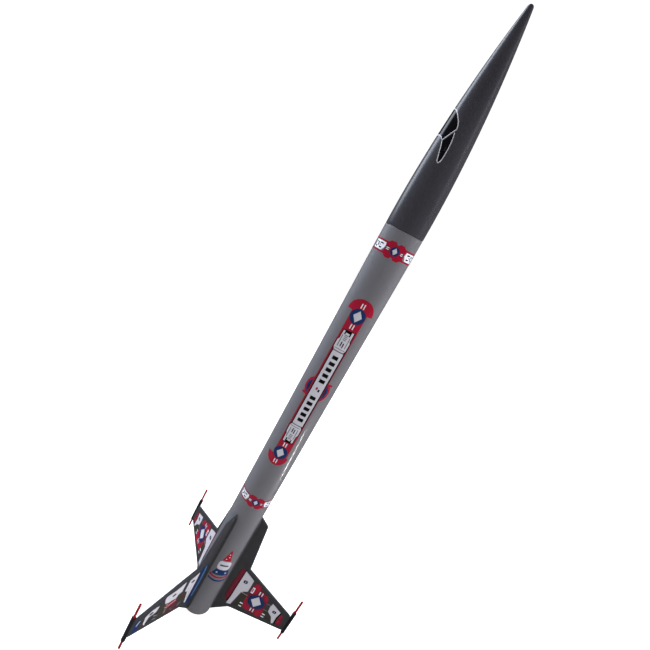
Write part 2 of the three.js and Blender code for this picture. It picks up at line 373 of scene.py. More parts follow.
class Finish:
    # one material, or the sky, while it is being wired
    def __init__(self, name, sky=None):
        self.material = sky or bpy.data.materials.new(name)
        self.material.use_nodes = True
        self.tree = self.material.node_tree
        self.shader = self.tree.nodes["Background" if sky else "Principled BSDF"]

    def node(self, kind, settings=None, sockets=None, out=0):
        made = self.tree.nodes.new("ShaderNode" + kind)
        for key, value in (settings or {}).items():
            if key == "stops":
                self.setStops(made.color_ramp, value)
            else:
                setattr(made, key, value)
        for key, value in (sockets or {}).items():
            self.feed(made.inputs[key], value)
        return Wire(self, made.outputs[out])

    def setStops(self, ramp, stops):
        while len(ramp.elements) < len(stops):
            ramp.elements.new(0.5)
        for element, (at, shade) in zip(ramp.elements, stops):
            element.position = at
            element.color = (shade, shade, shade, 1)

    def feed(self, socket, value):
        if isinstance(value, Wire):
            self.tree.links.new(value.socket, socket)
        else:
            socket.default_value = value

    def shade(self, **values):
        for key, value in values.items():
            words = "".join(" " + c if c.isupper() else c for c in key).strip()
            self.feed(self.shader.inputs[words], value)
        return self.material

    def place(self, turn=0):
        # where a point of the object is, in metres, turned about Z
        here = self.node("TexCoord", out=3)
        if not turn:
            return here
        settings = {"rotation_type": "Z_AXIS"}
        return self.node("VectorRotate", settings, {"Vector": here, "Angle": math.radians(-turn)})

    def split(self, vector):
        parts = self.node("SeparateXYZ", sockets={0: vector})
        outputs = parts.socket.node.outputs
        return [Wire(self, outputs[k]) for k in range(3)]

    def stretched(self, vector, x, y, z):
        return self.node("VectorMath", {"operation": "MULTIPLY"}, {0: vector, 1: (x, y, z)})

    def cloud(self, vector, scale, detail=3, roughness=0.5):
        values = {"Vector": vector, "Scale": scale, "Detail": detail, "Roughness": roughness}
        return self.node("TexNoise", sockets=values)

    def ramp(self, value, *stops):
        return self.node("ValToRGB", {"stops": stops}, {0: value})

    def mix(self, factor, first, second):
        return self.node("Mix", {"data_type": "RGBA"}, {0: factor, 6: first, 7: second}, out=2)

    def bump(self, height, depth):
        return self.node("Bump", sockets={"Height": height, "Distance": depth * mm})

    def angle(self, x, y):
        return self.node("Math", {"operation": "ARCTAN2"}, {0: y, 1: x})

    def fromSeam(self, place, pitch):
        # how far a point is from a wound strip's seam, in strip widths
        x, y, z = self.split(place)
        turn = self.angle(x, y) / (2 * math.pi)
        return ((z / (pitch * mm) + turn).part() - 0.5).size()

    def dull(self, level):
        self.feed(self.shader.inputs["Specular IOR Level"], level)


def rgb(red, green, blue):
    # screen values of 0 to 255 as the renderer's colour
    def linear(value):
        part = value / 255
        return part / 12.92 if part <= 0.04045 else ((part + 0.055) / 1.055) ** 2.4

    return (linear(red), linear(green), linear(blue), 1)


tubeLook = {
    "colour": rgb(106, 105, 111),
    "shadow": rgb(98, 97, 103),
    "seamPitch": 62,  # the paper strip's width along the tube
    "seamWidth": 0.9,
    "gloss": 0.42,
}


def tubePaint():
    finish = Finish("tube_gloss_grey")
    place = finish.place()
    fromSeam = finish.fromSeam(place, tubeLook["seamPitch"])
    width = tubeLook["seamWidth"] / tubeLook["seamPitch"]
    seam = finish.ramp(fromSeam, (0, 1), (width / 2, 0.35), (width, 0))
    drift = finish.cloud(place, 22, 2)
    peel = finish.cloud(place, 900, 2)
    dust = finish.ramp(finish.cloud(place, 2600, 1), (0.66, 0), (0.75, 1))
    base = finish.mix(drift, tubeLook["shadow"], tubeLook["colour"])
    base = finish.mix(dust * 0.12, base, rgb(140, 140, 145))
    base = finish.mix(seam * 0.14, base, rgb(70, 70, 76))
    rough = tubeLook["gloss"] + drift * 0.06 + dust * 0.1
    height = peel * 0.06 - seam * 0.5
    return finish.shade(
        BaseColor=base,
        Roughness=rough,
        Normal=finish.bump(height, 0.03),
        CoatWeight=0.6,
        CoatRoughness=0.05,
    )


def kraft(name="kraft_paper", light=rgb(186, 150, 104), dark=rgb(150, 114, 74), pitch=62):
    finish = Finish(name)
    place = finish.place()
    seam = finish.ramp(finish.fromSeam(place, pitch), (0, 1), (0.006, 0.6), (0.012, 0))
    fibre = finish.cloud(finish.stretched(place, 1, 1, 0.25), 1800, 5, 0.7)
    blotch = finish.cloud(place, 90, 3)
    base = finish.mix(fibre * 0.7 + blotch * 0.3, dark, light)
    base = finish.mix(seam * 0.5, base, dark)
    rough = 0.82 + fibre * 0.12
    return finish.shade(BaseColor=base, Roughness=rough, Normal=finish.bump(fibre - seam, 0.05))


noseLook = {"colour": rgb(56, 55, 61), "worn": rgb(70, 69, 76), "lineWidth": 0.16}


def nosePlastic(name="nose_gloss_charcoal", gloss=0.24):
    finish = Finish(name)
    place = finish.place()
    x, y, z = finish.split(place)
    drift = finish.cloud(place, 30, 2)
    skin = finish.cloud(place, 1500, 2)
    flow = finish.cloud(finish.stretched(place, 1, 1, 0.08), 260, 3)
    width = noseLook["lineWidth"] * mm
    line = finish.ramp(y.size() / width, (0, 1), (0.5, 0.7), (1, 0))
    rubs = finish.ramp(finish.cloud(finish.stretched(place, 1, 1, 0.3), 700, 4), (0.63, 0), (0.74, 1))
    base = finish.mix(drift, rgb(50, 49, 55), noseLook["colour"])
    base = finish.mix(rubs * 0.25, base, noseLook["worn"])
    rough = gloss + drift * 0.08 + rubs * 0.12
    height = skin * 0.05 + flow * 0.1 + line * 0.6
    return finish.shade(BaseColor=base, Roughness=rough, Normal=finish.bump(height, 0.008))


finLook = {"colour": rgb(46, 46, 49), "worn": rgb(74, 75, 84), "grainStep": 0.9, "grainSlant": 26}


def finPaint(turn):
    # satin paint that lets the balsa's grain through, along the blade
    finish = Finish("fin_satin_charcoal_" + str(turn))
    place = finish.place(turn)
    slant = {"Vector": place, "Angle": math.radians(-finLook["grainSlant"])}
    slanted = finish.node("VectorRotate", {"rotation_type": "Y_AXIS"}, slant)
    grain = finish.cloud(finish.stretched(slanted, 0.06, 1, 1), 1000 / finLook["grainStep"], 4, 0.6)
    specks = finish.cloud(finish.stretched(slanted, 0.12, 1, 1), 3200, 2)
    pores = finish.ramp(specks, (0.6, 0), (0.72, 1))
    drift = finish.cloud(place, 60, 3)
    base = finish.mix(drift, rgb(38, 38, 41), finLook["colour"])
    base = finish.mix(grain * 0.25, base, finLook["worn"])
    base = finish.mix(pores * 0.3, base, rgb(30, 30, 33))
    rough = 0.42 + drift * 0.12 + pores * 0.1
    height = grain * 0.5 - pores * 0.5
    return finish.shade(BaseColor=base, Roughness=rough, Normal=finish.bump(height, 0.05))


def edgePaint():
    # the blades' narrow faces: painted a lighter, bluer colour than the sides as a painted highlight for
    # faces that catch more light, with end grain under it
    finish = Finish("fin_edge_painted_highlight")
    place = finish.place()
    pits = finish.ramp(finish.cloud(place, 2400, 3), (0.58, 0), (0.7, 1))
    drift = finish.cloud(place, 90, 3)
    # painted highlight: these edge colours are lighter than the fin sides' colour
    base = finish.mix(drift, rgb(60, 61, 70), rgb(74, 75, 85))
    base = finish.mix(pits * 0.4, base, rgb(48, 48, 55))
    rough = 0.38 + drift * 0.1 + pits * 0.1
    return finish.shade(BaseColor=base, Roughness=rough, Normal=finish.bump(drift - pits, 0.05))


def rodPaint():
    finish = Finish("rod_red_enamel")
    place = finish.place()
    grain = finish.cloud(finish.stretched(place, 1, 1, 0.05), 2600, 3)
    drift = finish.cloud(place, 160, 3)
    base = finish.mix(drift, rgb(136, 3, 12), rgb(160, 6, 18))
    base = finish.mix(grain * 0.3, base, rgb(104, 2, 8))
    finish.dull(0.15)
    rough = 0.5 + grain * 0.1
    return finish.shade(BaseColor=base, Roughness=rough, Normal=finish.bump(grain, 0.04))


def sleevePaint():
    finish = Finish("sleeve_black_paper")
    place = finish.place()
    fibre = finish.cloud(finish.stretched(place, 1, 1, 0.3), 1900, 4, 0.65)
    drift = finish.cloud(place, 120, 3)
    base = finish.mix(fibre, rgb(20, 20, 22), rgb(38, 38, 41))
    finish.dull(0.25)
    return finish.shade(BaseColor=base, Roughness=0.4 + drift * 0.15, Normal=finish.bump(fibre, 0.04))


def paper(name, light, dark, scale=1500):
    finish = Finish(name)
    place = finish.place()
    fibre = finish.cloud(place, scale, 5, 0.7)
    blotch = finish.cloud(place, 110, 3)
    base = finish.mix(fibre * 0.6 + blotch * 0.4, dark, light)
    rough = 0.8 + fibre * 0.12
    return finish.shade(BaseColor=base, Roughness=rough, Normal=finish.bump(fibre, 0.06))


def brushedSteel():
    finish = Finish("hook_spring_steel")
    place = finish.place()
    lines = finish.cloud(finish.stretched(place, 1, 1, 0.02), 4200, 3, 0.6)
    stain = finish.cloud(place, 150, 3)
    base = finish.mix(lines, rgb(138, 138, 142), rgb(176, 176, 180))
    base = finish.mix(finish.ramp(stain, (0.55, 0), (0.8, 1)) * 0.4, base, rgb(96, 88, 84))
    rough = 0.26 + lines * 0.16 + stain * 0.08
    bump = finish.bump(lines, 0.01)
    return finish.shade(BaseColor=base, Metallic=1.0, Roughness=rough, Normal=bump)


def tissue():
    finish = Finish("wadding_tissue")
    place = finish.place()
    cells = {"Vector": place, "Scale": 260}
    crease = finish.node("TexVoronoi", {"feature": "DISTANCE_TO_EDGE"}, cells)
    fibre = finish.cloud(place, 2400, 4, 0.7)
    foldsAndPaintedShade = finish.ramp(crease, (0, 0), (0.12, 1))
    # painted shade: the creases are sunk by the bump and also painted darker grey
    base = finish.mix(foldsAndPaintedShade, rgb(176, 180, 182), rgb(214, 217, 219))
    height = foldsAndPaintedShade * 0.8 + fibre * 0.3
    return finish.shade(BaseColor=base, Roughness=0.93, Normal=finish.bump(height, 0.25))


def nylon():
    finish = Finish("canopy_ripstop_orange")
    place = finish.place()
    x, y, z = finish.split(place)
    weave = (z * (2 * math.pi / (0.5 * mm))).wave() * (finish.angle(x, y) * 140).wave()
    cord = finish.ramp((z / (5 * mm)).part(), (0, 1), (0.06, 1), (0.1, 0))
    drift = finish.cloud(place, 80, 3)
    base = finish.mix(drift, rgb(214, 82, 34), rgb(226, 98, 46))
    base = finish.mix(cord * 0.35, base, rgb(180, 58, 22))
    height = weave * 0.4 + cord
    return finish.shade(
        BaseColor=base,
        Roughness=0.55 + drift * 0.1,
        Normal=finish.bump(height, 0.04),
        SheenWeight=0.15,
    )


def ink(name, colour, fleck, gloss=0.3):
    # print on a clear film: a little uneven, with fine flecks
    finish = Finish("film_" + name)
    place = finish.place()
    drift = finish.cloud(place, 120, 3)
    grain = finish.ramp(finish.cloud(place, 3600, 2), (0.6, 0), (0.72, 1))
    base = finish.mix(drift * 0.5 + grain * 0.35, colour, fleck)
    rough = gloss + grain * 0.08 + drift * 0.05
    height = finish.cloud(place, 700, 2) + grain * 0.2
    finish.dull(0.2)
    return finish.shade(BaseColor=base, Roughness=rough, Normal=finish.bump(height, 0.008))


inks = {
    "red": ink("red", rgb(154, 3, 41), rgb(136, 3, 35)),
    "darkRed": ink("dark_red", rgb(112, 18, 42), rgb(92, 12, 34)),
    "maroon": ink("maroon", rgb(78, 36, 40), rgb(62, 28, 32)),
    "blue": ink("blue", rgb(12, 44, 92), rgb(9, 36, 78)),
    "darkBlue": ink("dark_blue", rgb(10, 24, 54), rgb(8, 19, 45)),
    "paleBlue": ink("pale_blue", rgb(120, 168, 220), rgb(100, 148, 204)),
    "white": ink("white", rgb(216, 218, 227), rgb(200, 202, 213)),
    "grey": ink("pale_grey", rgb(190, 188, 196), rgb(174, 172, 182)),
    "midGrey": ink("mid_grey", rgb(124, 118, 122), rgb(104, 98, 102)),
    "slate": ink("slate", rgb(70, 66, 78), rgb(58, 54, 66)),
    "umber": ink("umber", rgb(56, 54, 44), rgb(42, 41, 34)),
    "pink": ink("pink", rgb(196, 150, 152), rgb(176, 128, 132)),
    "black": ink("black", rgb(7, 7, 9), rgb(14, 14, 17), 0.1),
}
tubeGrey = tubePaint()
kraftBoard = kraft()
charcoal = nosePlastic()
whitePaper = paper("anchor_paper", rgb(222, 217, 205), rgb(200, 194, 180))
burntCard = paper("ring_burnt_edge", rgb(78, 56, 38), rgb(48, 33, 22))
ringCard = paper("ring_card", rgb(196, 176, 140), rgb(176, 154, 118), 1100)
steel = brushedSteel()
print("finishes made:", len(bpy.data.materials))


# ---------- the airframe tube
tabSlot = {"low": 17.0, "high": 79.2, "halfWidth": finThick / 2 + 0.3}
tubeBore = tubeRadius - 0.55
tubeWall = shell(
    tubeRadius,
    tubeBore,
    [(0, 0.12), (0.15, 0), (tubeTop - 0.15, 0), (tubeTop, 0.12)],
    [(turn, tabSlot["halfWidth"], tabSlot["low"], tabSlot["high"]) for turn in finTurns],
)
points, faces, _ = tubeWall
outside = []
for face in faces:
    middle = sum((Vector(points[i]) for i in face), Vector()) / len(face)
    outside.append("paint" if math.hypot(middle.x, middle.y) > tubeRadius - 0.1 else "board")
makePiece(
    "airframe_tube",
    [(points, faces, outside)],
    {"paint": tubeGrey, "board": kraftBoard},
    ["body_tube"],
)
print("airframe tube made")


# ---------- the nose: a tangent ogive with a round tip, and the shoulder under it
def noseCurve(radius, tipRadius, length, steps=56):
    # (radius, height over the base) from the base up to the axis
    big = (length ** 2 + radius ** 2 - 2 * tipRadius * length) / (2 * (radius - tipRadius))
    top = math.asin((length - tipRadius) / (big - tipRadius))
    curve = []
    for k in range(steps + 1):
        t = top * k / steps
        curve.append((radius - big + big * math.cos(t), big * math.sin(t)))
    for k in range(1, 9):
        t = top + (math.pi / 2 - top) * k / 8
        curve.append((tipRadius * math.cos(t), length - tipRadius + tipRadius * math.sin(t)))
    curve[-1] = (0, length)
    return curve


noseLength = noseSize["tip"] - noseSize["base"]
skin = noseCurve(tubeRadius, noseSize["tipRadius"], noseLength)
hollow = noseCurve(tubeRadius - noseSize["wall"], 1, noseLength - 9)
shoulder = {"radius": tubeBore - 0.3, "wall": 1.4, "low": boxOf("nose_cone")[0].z, "lead": 2}
base = noseSize["base"]
bore = shoulder["radius"] - shoulder["wall"]
profile = [(r, base + z) for r, z in hollow[::-1] if z > 2]
profile += [(bore, base), (bore, shoulder["low"] + 0.2), (bore + 0.2, shoulder["low"])]
profile += [
    (shoulder["radius"] - 0.5, shoulder["low"]),
    (shoulder["radius"], shoulder["low"] + shoulder["lead"]),
    (shoulder["radius"], base - 0.25),
    (shoulder["radius"] + 0.2, base),
    (tubeRadius - 0.25, base),
    (tubeRadius - 0.07, base + 0.07),
]
profile.append((tubeRadius, base + 0.25))
profile += [(r, base + z) for r, z in skin[1:]]
makePiece("nose_ogive", [turned(profile, 128)], [charcoal], ["nose_cone"], "nose")


def skinRadius(z):
    # the painted surface's radius at any height of the tube and the nose
    if z <= base:
        return tubeRadius
    for (r0, z0), (r1, z1) in zip(skin, skin[1:]):
        if z - base <= z1:
            return r0 + (r1 - r0) * (z - base - z0) / max(z1 - z0, 1e-6)
    return 0


plug = {
    "flange": 15.7,
    "flangeHeight": 1.6,
    "skirt": 14.3,
    "skirtWall": 1.2,
    "skirtHeight": 5,
    "wire": 1.1,
    "loopHalf": 5.1,
    "loopDrop": 3,
}
plugLow = shoulder["low"] - 0.3 - plug["flangeHeight"]
flangeTop = plugLow + plug["flangeHeight"]
skirtTop = flangeTop + plug["skirtHeight"]
skirtBore = plug["skirt"] - plug["skirtWall"]
plugProfile = [
    (0, plugLow + 0.5),
    (9.5, plugLow + 0.5),
    (10, plugLow),
    (plug["flange"] - 0.3, plugLow),
    (plug["flange"], plugLow + 0.3),
    (plug["flange"], flangeTop - 0.3),
    (plug["flange"] - 0.3, flangeTop),
    (plug["skirt"] + 0.3, flangeTop),
    (plug["skirt"], flangeTop + 0.3),
    (plug["skirt"], skirtTop - 0.4),
    (plug["skirt"] - 0.3, skirtTop),
    (skirtBore + 0.2, skirtTop),
    (skirtBore, skirtTop - 0.2),
    (skirtBore, flangeTop + 0.3),
    (skirtBore - 0.3, flangeTop),
    (0, flangeTop),
]
loopPath = [(-plug["loopHalf"], 0, plugLow + 0.7)]
loopBend = arc(0, plugLow - plug["loopDrop"], plug["loopHalf"], 180, 360, 25)
loopPath += [(x, 0, z) for x, z in loopBend]
loopPath += [(plug["loopHalf"], 0, plugLow + 0.7)]
flareProfile = [(0, plugLow - 0.9), (1.15, plugLow - 0.9), (1.7, plugLow + 0.1), (0, plugLow + 0.1)]
flare = moved(turned(flareProfile, 24), Matrix.Translation((plug["loopHalf"], 0, 0)))
loop = swept(loopPath, arc(0, 0, plug["wire"], steps=16))
flares = [spun(flare, turn) for turn in (0, 180)]
makePiece(
    "nose_base_plug",
    [turned(plugProfile, 96), loop] + flares,
    [nosePlastic("plug_charcoal", 0.36)],
    ["nose_plug"],
    "nose",
)
print("nose made")


# ---------- fins
fin = {
    "outline": [
        (rootRadius, 0),
        (34.0, 14.8),
        (boxOf("fin_1")[1].x, 20.5),
        (boxOf("fin_1")[1].x, 44.3),
        (34.7, 76.3),
        (27.7, 137.3),
        (rootRadius, boxOf("fin_1")[1].z),
    ],
    "tab": [(78.9, 0), (78.9, 1), (52.1, 1), (52.1, 2), (43.5, 2), (43.5, 1), (17.3, 1), (17.3, 0)],
    "cornerRound": 1.4,
    "edgeRound": 0.85,
    "fillet": 2.0,
    "filletTaper": 7,
}
tabDepths = [rootRadius, boxOf("fin_1")[0].x, boxOf("fin_1")[0].x + 0.9]


def finPlate(turn):
    outline = roundCorners(fin["outline"], fin["cornerRound"], closed=False)
    outline += [(tabDepths[step], z) for z, step in fin["tab"]]
    shape = bmesh.new()
    face = shape.faces.new([shape.verts.new((r, -finThick / 2, z)) for r, z in outline])
    grown = bmesh.ops.extrude_face_region(shape, geom=[face])["geom"]
    top = [v for v in grown if isinstance(v, bmesh.types.BMVert)]
    bmesh.ops.translate(shape, verts=top, vec=(0, finThick, 0))
    rims = []
    for edge in shape.edges:
        a, b = edge.verts
        level = abs(a.co.y - b.co.y) < 1e-6
        outer = min(a.co.x, b.co.x) > rootRadius - 0.01 and max(a.co.x, b.co.x) > rootRadius + 0.01
        if level and outer:
            rims.append(edge)
    bmesh.ops.bevel(
        shape,
        geom=rims,
        offset=fin["edgeRound"],
        segments=4,
        profile=0.5,
        affect="EDGES",
        clamp_overlap=True,
    )
    shape.verts.index_update()
    shape.normal_update()
    points = [tuple(v.co) for v in shape.verts]
    faces = [[v.index for v in face.verts] for face in shape.faces]
    parts = ["side" if abs(face.normal.y) > 0.95 else "edge" for face in shape.faces]
    shape.free()
    return spun((points, faces, parts), turn)


def rootFillet(side):
    # a concave bead of paint and glue along the root, thinner at both ends
    low, high = 1, fin["outline"][-1][1] - 1.5
    levels = [low, low + 1, low + 3, low + fin["filletTaper"]]
    levels += [low + (high - low) * k / 8 for k in range(1, 8)]
    levels += [high - fin["filletTaper"], high - 3, high - 1, high]
    sections = []
    for z in sorted(levels):
        reach = min(z - low, high - z) / fin["filletTaper"]
        size = 0.35 + (fin["fillet"] - 0.35) * math.sin(math.pi / 2 * min(reach, 1))
        size *= 1 + 0.12 * noise.noise((z * 0.09, side, 3))
        edge = finThick / 2
        foot = edge + size
        section = [(tubeRadius - 0.3, edge - 0.2), (rootRadius + size, edge - 0.2)]
        section += arc(rootRadius + size, foot, size, 270, 180, 7)[:-1]
        section.append((math.sqrt(tubeRadius ** 2 - foot ** 2) - 0.04, foot))
        sections.append([(r, side * t, z) for r, t in section])
    return lofted(sections)


sleeveAxis = (boxOf("tip_sleeve_1")[0].x + boxOf("tip_sleeve_1")[1].x) / 2
sleeveRadius = sizeOf("tip_sleeve_1").y / 2
sleeveLow, sleeveHigh = heightsOf("tip_sleeve_1")
rodLow, rodHigh = heightsOf("tip_rod_1")
rodRadius = sizeOf("tip_rod_1").y / 2


def roundedRing(outer, inner, low, high, lip=0.12):
    profile = [(inner, low + lip), (inner + lip, low), (outer - lip, low), (outer, low + lip)]
    profile += [(outer, high - lip), (outer - lip, high), (inner + lip, high), (inner, high - lip)]
    return profile


def tipBead(side):
    # the glue that holds the sleeve on the fin's tip
    tip = fin["outline"][2][0]
    low, high = 22, 42.5
    sections = []
    for k in range(9):
        t = k / 8
        size = 0.15 + 0.45 * math.sin(math.pi * t)
        z = low + (high - low) * t
        section = [(tip - 0.9 - size, 0.3), (tip - 0.9 - size, finThick / 2 - 0.2)]
        section += [(tip - 0.1, finThick / 2 - 0.1), (sleeveAxis - 1.9, 0.9 + size * 0.6)]
        section += [(sleeveAxis - 1.75, 0.3)]
        sections.append([(r, side * s, z) for r, s in section])
    return lofted(sections)


rodRed = rodPaint()
# the fins' narrow faces get a painted highlight colour
finEdgeHighlight = edgePaint()
sleeveBlack = sleevePaint()
rodEnd = [(0, 0), (rodRadius - 0.3, 0), (rodRadius - 0.08, 0.1), (rodRadius, 0.35)]
rodProfile = [(r, rodLow + z) for r, z in rodEnd] + [(r, rodHigh - z) for r, z in rodEnd[::-1]]
sleeveProfile = roundedRing(sleeveRadius, rodRadius + 0.3, sleeveLow, sleeveHigh, 0.18)
toTip = Matrix.Translation((sleeveAxis, 0, 0))
for number, turn in enumerate(finTurns, 1):
    finFinish = finPaint(turn)
    plate = makePiece(
        f"fin_plate_{number}",
        [finPlate(turn)],
        {"side": finFinish, "edge": finEdgeHighlight},
        [f"fin_{number}"],
    )
    for polygon in plate.data.polygons:
        if polygon.area > 1e-4:
            polygon.use_smooth = False
    beads = [spun(bead, turn) for side in (1, -1) for bead in (rootFillet(side), tipBead(side))]
    makePiece(f"fin_glue_line_{number}", beads, [finFinish], crease=60)
    makePiece(
        f"tip_sleeve_tube_{number}",
        [spun(moved(turned(sleeveProfile, 48), toTip), turn)],
        [sleeveBlack],
        [f"tip_sleeve_{number}"],
    )
    makePiece(
        f"tip_dowel_{number}",
        [spun(moved(turned(rodProfile, 40), toTip), turn)],
        [rodRed],
        [f"tip_rod_{number}"],
    )
print("fins made")


# ---------- launch lugs, on the far side
lug = {"azimuth": 60, "wall": 0.3, "radius": 2.1, "gap": 0.3}
lugAxis = tubeRadius + lug["gap"] + lug["radius"]


def lugBead(side, low, high):
    sections = []
    for k in range(11):
        t = k / 10
        z = low - 0.4 + (high - low + 0.8) * t
        size = 0.55 + 0.45 * math.sin(math.pi * min(1, 4 * min(t, 1 - t)) / 2)
        size *= 1 + 0.15 * noise.noise((z * 0.2, side, low))
        section = [
            (tubeRadius - 0.15, 0.2),
            (math.sqrt(tubeRadius ** 2 - (2.8 * size) ** 2) - 0.05, 2.8 * size),
            (tubeRadius + 0.12, 1.75 * size + 0.1),
            (tubeRadius + 0.75, 1.42),
            (tubeRadius + 0.55, 0.9),
            (tubeRadius + 0.38, 0.2),
        ]
        sections.append([(r, side * s, z) for r, s in section])
    return lofted(sections)


for name in ("launch_lug_lower", "launch_lug_upper"):
    low, high = heightsOf(name)
    barrel = turned(roundedRing(lug["radius"], lug["radius"] - lug["wall"], low, high, 0.1), 48)
    barrel = moved(barrel, Matrix.Translation((lugAxis, 0, 0)))
    solids = [barrel] + [lugBead(side, low + 1, high - 1) for side in (1, -1)]
    solids = [spun(solid, lug["azimuth"]) for solid in solids]
    makePiece(name + "_tube", solids, [tubeGrey], [name], crease=50)
print("launch lugs made")


# ---------- the motor mount
motor = {
    "radius": sizeOf("motor_tube").y / 2,
    "low": boxOf("motor_tube")[0].z,
    "high": boxOf("motor_tube")[1].z,
    "wall": 0.3,
}
hookSize = {
    "half": 1.6,
    "thick": 0.6,
    "middle": 9.95,  # the strip's own middle, from the axis
    "inner": 6.8,  # how near the axis its two bent ends come
    "low": 5.4,
    "high": 76.6,
    "grip": (-8.3, 1.4),
    "slot": (76.0, 77.2),
    "bend": (44.5, 42.5),
}
hookSlot = (180, hookSize["half"] + 0.3, *hookSize["slot"])
motorWall = shell(
    motor["radius"],
    motor["radius"] - motor["wall"],
    [(motor["low"], 0.06), (motor["low"] + 0.1, 0), (motor["high"] - 0.1, 0), (motor["high"], 0.06)],
    [hookSlot],
    96,
)
motorPaper = kraft("motor_tube_kraft", rgb(206, 178, 138), rgb(178, 148, 108), 38)
makePiece("motor_tube_wound", [motorWall], [motorPaper], ["motor_tube"])
thrust = {"outer": 8.75, "inner": 6.55, "lip": 0.25}
thrustRing = roundedRing(thrust["outer"], thrust["inner"], *heightsOf("thrust_ring"), thrust["lip"])
makePiece(
    "thrust_ring_paper",
    [turned(thrustRing, 72)],
    [kraft("thrust_ring_kraft", rgb(150, 118, 80), rgb(120, 90, 58), 20)],
    ["thrust_ring"],
)


def level(u, v, height):
    return (u, v, height)


# two card rings: the aft one has a notch for the hook, and the forward one a bead of glue
disc = {"radius": 16.0, "notchReach": 13.4, "notchWidth": 4.4, "hole": motor["radius"] + 0.3}
ringGlue = kraft("ring_glue", rgb(206, 196, 160), rgb(186, 172, 128))
for name, notched in (("centring_ring_aft", True), ("centring_ring_forward", False)):
    low, high = heightsOf(name)
    layers = [("card", arc(0, 0, disc["radius"], steps=120))]
    if notched:
        notch = bar(-disc["notchReach"] / 2, 0, disc["notchReach"], disc["notchWidth"])
        layers.append((None, notch))
    layers.append((None, arc(0, 0, disc["hole"], steps=96)))
    solids = [printed(layers, level, low, high, rim="edge")]
    if not notched:
        wet = roundedRing(motor["radius"] + 1.1, motor["radius"] + 0.02, high - 0.1, high + 0.55, 0.25)
        solids.append(inked(*turned(wet, 72)[:2], "glue"))
    makePiece(
        name + "_card",
        solids,
        {"card": ringCard, "edge": burntCard, "glue": ringGlue},
        [name],
    )

hookPath = [
    hookSize["grip"],
    (-hookSize["inner"], hookSize["low"]),
    (-hookSize["middle"], hookSize["low"]),
    (-hookSize["middle"], hookSize["high"]),
    (-hookSize["inner"], hookSize["high"]),
]
bent = roundCorners(hookPath, 0.75, 5, closed=False)
hookPoints = []
for a, b in zip(bent, bent[1:]):
    count = max(1, round((Vector(b) - Vector(a)).length))
    hookPoints += [tuple(Vector(a).lerp(Vector(b), k / count)) for k in range(count)]
hookPoints.append(bent[-1])
hookSection = roundCorners(bar(0, 0, 2 * hookSize["half"], hookSize["thick"]), 0.18)
hook = makePiece(
    "motor_hook_strip",
    [swept([(x, 0, z) for x, z in hookPoints], hookSection)],
    [steel],
    ["motor_hook", "motor_hook_tail"],
    body=None,
)
hookBend = [(-hookSize["middle"] * mm, 0, z * mm) for z in hookSize["bend"]]
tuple(hookBend[0])
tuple(hookBend[1])
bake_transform(hook)

retainer = {"inner": motor["radius"] + 0.3, "thick": 0.6, "hump": 10.55, "humpHalf": 1.9}


def retainerOutline(grow):
    # a band round the motor tube with a hump over the hook
    radius, reach, side = (retainer[key] + grow for key in ("inner", "hump", "humpHalf"))
    start = 180 + math.degrees(math.asin(side / radius))
    around = arc(0, 0, radius, start, 720 - start, 90)
    return around + [(-reach, side), (-reach, -side)]


bandOutlines = [("kraft", retainerOutline(retainer["thick"])), (None, retainerOutline(0))]
band = printed(bandOutlines, level, *heightsOf("hook_retainer"))
makePiece(
    "hook_retainer_band",
    [band],
    {"kraft": kraft("retainer_kraft", rgb(176, 142, 98), rgb(146, 112, 72), 20)},
    ["hook_retainer"],
)
print("motor mount made")


# ---------- recovery packing
anchorLow, anchorHigh = heightsOf("shock_cord_anchor")
anchor = {"radius": 16.0, "thick": 1.2, "width": 13, "plies": 3}


def inBore(u, v, height):
    turn = math.radians(90) + u / anchor["radius"]
    radius = anchor["radius"] - height
    return (radius * math.cos(turn), radius * math.sin(turn), v)


plies = []
middle = (anchorLow + anchorHigh) / 2
for ply in range(anchor["plies"]):
    low = anchor["thick"] * ply / anchor["plies"] + 0.02
    high = anchor["thick"] * (ply + 1) / anchor["plies"] - 0.02
    width = anchor["width"] - 0.5 - ply * 0.5
    height = anchorHigh - anchorLow - 0.4 - ply * 0.7
    outline = roundCorners(bar(0.1 * ply, middle, width, height), 0.4)
    plies.append(printed([("paper", outline)], inBore, high, low, 0.9))
makePiece("shock_cord_anchor_folded", plies, {"paper": whitePaper}, ["shock_cord_anchor"])

waddingLow, waddingHigh = heightsOf("recovery_wadding")
wadRadius = sizeOf("recovery_wadding").x / 2
wadMiddle, wadHalf = (waddingLow + waddingHigh) / 2, (waddingHigh - waddingLow) / 2
ridges = ((2.6, 0.1), (5.5, 0.06), (11, 0.03))  # how fine and how deep the creases are
wad = bmesh.new()
bmesh.ops.create_icosphere(wad, subdivisions=6, radius=1)
for vert in wad.verts:
    flatness = Vector((vert.co.x, vert.co.y)).length
    square = max(flatness, abs(vert.co.z)) ** 0.6
    spot = vert.co / square
    ridge = 0
    for scale, depth in ridges:
        ridge += depth * abs(noise.noise(vert.co * scale + Vector((3, 7, scale)))) * 2
    spot *= 1 - ridge
    vert.co = Vector((spot.x * wadRadius, spot.y * wadRadius, wadMiddle + spot.z * wadHalf))
wad.verts.index_update()
wadSolid = inked([tuple(v.co) for v in wad.verts], [[v.index for v in f.verts] for f in wad.faces])
wad.free()
wadding = makePiece(
    "wadding_crumpled",
    [wadSolid],
    [tissue()],
    ["recovery_wadding"],
    crease=50,
)

